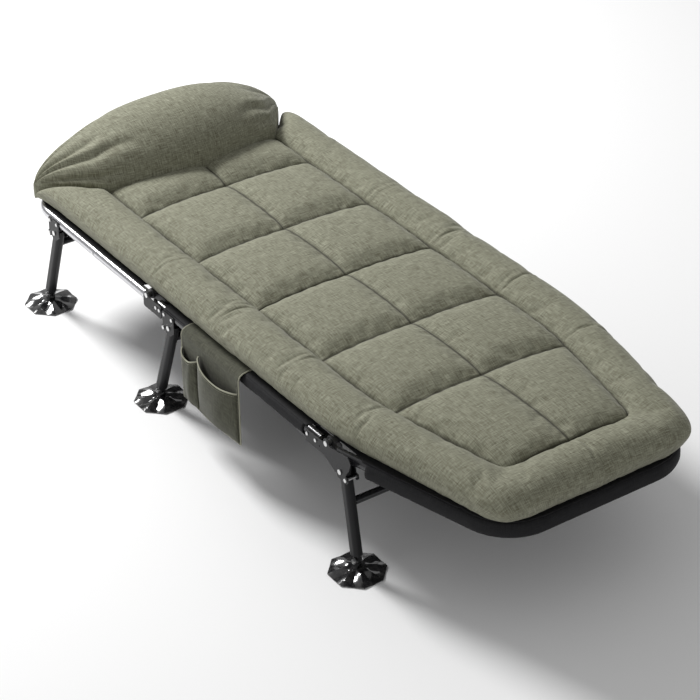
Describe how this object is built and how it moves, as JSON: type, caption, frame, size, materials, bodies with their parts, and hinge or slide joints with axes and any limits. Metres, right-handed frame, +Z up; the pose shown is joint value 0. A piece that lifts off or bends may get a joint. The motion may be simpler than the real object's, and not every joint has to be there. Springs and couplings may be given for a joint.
{
  "type": "folding cot",
  "caption": "Folding cot with a quilted mattress and bolster pillow on a three-part tube frame, with folding legs, swivelling mud feet and a side pocket.",
  "frame": {"origin": "on the ground, below the middle of the bed", "axes": "+X to the foot end, +Y to the sleeper's left, +Z up"},
  "size_m": [1.8978, 0.8814, 0.5445],
  "materials": {
    "quilted_fabric": "olive linen-look woven polyester, matte",
    "sling_fabric": "black coated canvas",
    "pocket_fabric": "olive linen-look woven polyester, bound edges",
    "rail_steel": "glossy black powder coat on steel tube",
    "black_steel": "satin black powder coat",
    "bright_steel": "zinc-plated steel",
    "foot_plate": "glossy black moulded plate"
  },
  "bodies": {
    "mid_section": {"mid_rail_left": "rail_steel", "mid_rail_right": "rail_steel", "mid_cross_bars": "black_steel", "mid_sling": "sling_fabric", "mid_pad": "quilted_fabric", "mid_leg_brackets": "black_steel", "mid_leg_pins": "bright_steel", "head_hinge_plates_left": "black_steel", "head_hinge_plates_right": "black_steel", "foot_hinge_plates_left": "black_steel", "foot_hinge_plates_right": "black_steel", "hinge_pins": "bright_steel", "hinge_spacers": "bright_steel", "ratchet_pawls": "bright_steel", "pawl_springs": "bright_steel", "plate_rivets": "bright_steel", "foot_leg_pins": "bright_steel", "pocket_panel": "pocket_fabric", "small_pocket": "pocket_fabric", "large_pocket": "pocket_fabric"},
    "head_section": {"head_rail_left": "rail_steel", "head_rail_right": "rail_steel", "head_bow": "rail_steel", "bow_rivets": "bright_steel", "head_sling": "sling_fabric", "head_pad": "quilted_fabric", "pillow": "quilted_fabric", "head_ratchet_tongues": "bright_steel", "head_tongue_rivets": "bright_steel", "head_leg_brackets": "black_steel", "head_leg_pins": "bright_steel"},
    "foot_section": {"foot_rail_left": "black_steel", "foot_rail_right": "black_steel", "foot_bow": "black_steel", "foot_sling": "sling_fabric", "foot_pad": "quilted_fabric", "foot_ratchet_tongues": "bright_steel", "foot_tongue_rivets": "bright_steel"},
    "head_legs": {"head_leg_left": "black_steel", "head_leg_right": "black_steel", "head_leg_bar": "black_steel"},
    "mid_legs": {"mid_leg_left": "black_steel", "mid_leg_right": "black_steel", "mid_leg_bar": "black_steel"},
    "foot_legs": {"foot_leg_left": "black_steel", "foot_leg_right": "black_steel", "foot_leg_bar": "black_steel"},
    "head_left_foot": {"head_mud_foot_left": "foot_plate", "head_foot_bolt_left": "bright_steel"},
    "head_right_foot": {"head_mud_foot_right": "foot_plate", "head_foot_bolt_right": "bright_steel"},
    "mid_left_foot": {"mid_mud_foot_left": "foot_plate", "mid_foot_bolt_left": "bright_steel"},
    "mid_right_foot": {"mid_mud_foot_right": "foot_plate", "mid_foot_bolt_right": "bright_steel"},
    "foot_left_foot": {"foot_mud_foot_left": "foot_plate", "foot_foot_bolt_left": "bright_steel"},
    "foot_right_foot": {"foot_mud_foot_right": "foot_plate", "foot_foot_bolt_right": "bright_steel"}
  },
  "joints": [
    {"name": "head_fold", "type": "hinge", "parent": "mid_section", "child": "head_section", "pos_m": [-0.322, 0, 0.302], "axis": [0, 1, 0], "range_deg": [0, 160], "deforming": ["head_pad", "pillow"]},
    {"name": "foot_fold", "type": "hinge", "parent": "mid_section", "child": "foot_section", "pos_m": [0.45, 0, 0.302], "axis": [0, -1, 0], "range_deg": [0, 175], "deforming": ["foot_pad", "mid_pad"]},
    {"name": "head_legs_fold", "type": "hinge", "parent": "head_section", "child": "head_legs", "pos_m": [-0.787, 0, 0.256], "axis": [0, -1, 0], "range_deg": [0, 88]},
    {"name": "mid_legs_fold", "type": "hinge", "parent": "mid_section", "child": "mid_legs", "pos_m": [-0.224, 0, 0.256], "axis": [0, -1, 0], "range_deg": [0, 88], "deforming": ["pocket_panel", "small_pocket", "large_pocket"]},
    {"name": "foot_legs_fold", "type": "hinge", "parent": "mid_section", "child": "foot_legs", "pos_m": [0.504, 0, 0.256], "axis": [0, 1, 0], "range_deg": [0, 80]},
    {"name": "head_left_foot_tilt", "type": "hinge", "parent": "head_legs", "child": "head_left_foot", "pos_m": [-0.86482, 0.376, 0.03], "axis": [0, 1, 0], "range_deg": [-20, 20]},
    {"name": "head_right_foot_tilt", "type": "hinge", "parent": "head_legs", "child": "head_right_foot", "pos_m": [-0.86482, -0.376, 0.03], "axis": [0, 1, 0], "range_deg": [-20, 20]},
    {"name": "mid_left_foot_tilt", "type": "hinge", "parent": "mid_legs", "child": "mid_left_foot", "pos_m": [-0.30182, 0.376, 0.03], "axis": [0, 1, 0], "range_deg": [-20, 20]},
    {"name": "mid_right_foot_tilt", "type": "hinge", "parent": "mid_legs", "child": "mid_right_foot", "pos_m": [-0.30182, -0.376, 0.03], "axis": [0, 1, 0], "range_deg": [-20, 20]},
    {"name": "foot_left_foot_tilt", "type": "hinge", "parent": "foot_legs", "child": "foot_left_foot", "pos_m": [0.54998, 0.376, 0.03], "axis": [0, 1, 0], "range_deg": [-20, 20]},
    {"name": "foot_right_foot_tilt", "type": "hinge", "parent": "foot_legs", "child": "foot_right_foot", "pos_m": [0.54998, -0.376, 0.03], "axis": [0, 1, 0], "range_deg": [-20, 20]}
  ]
}
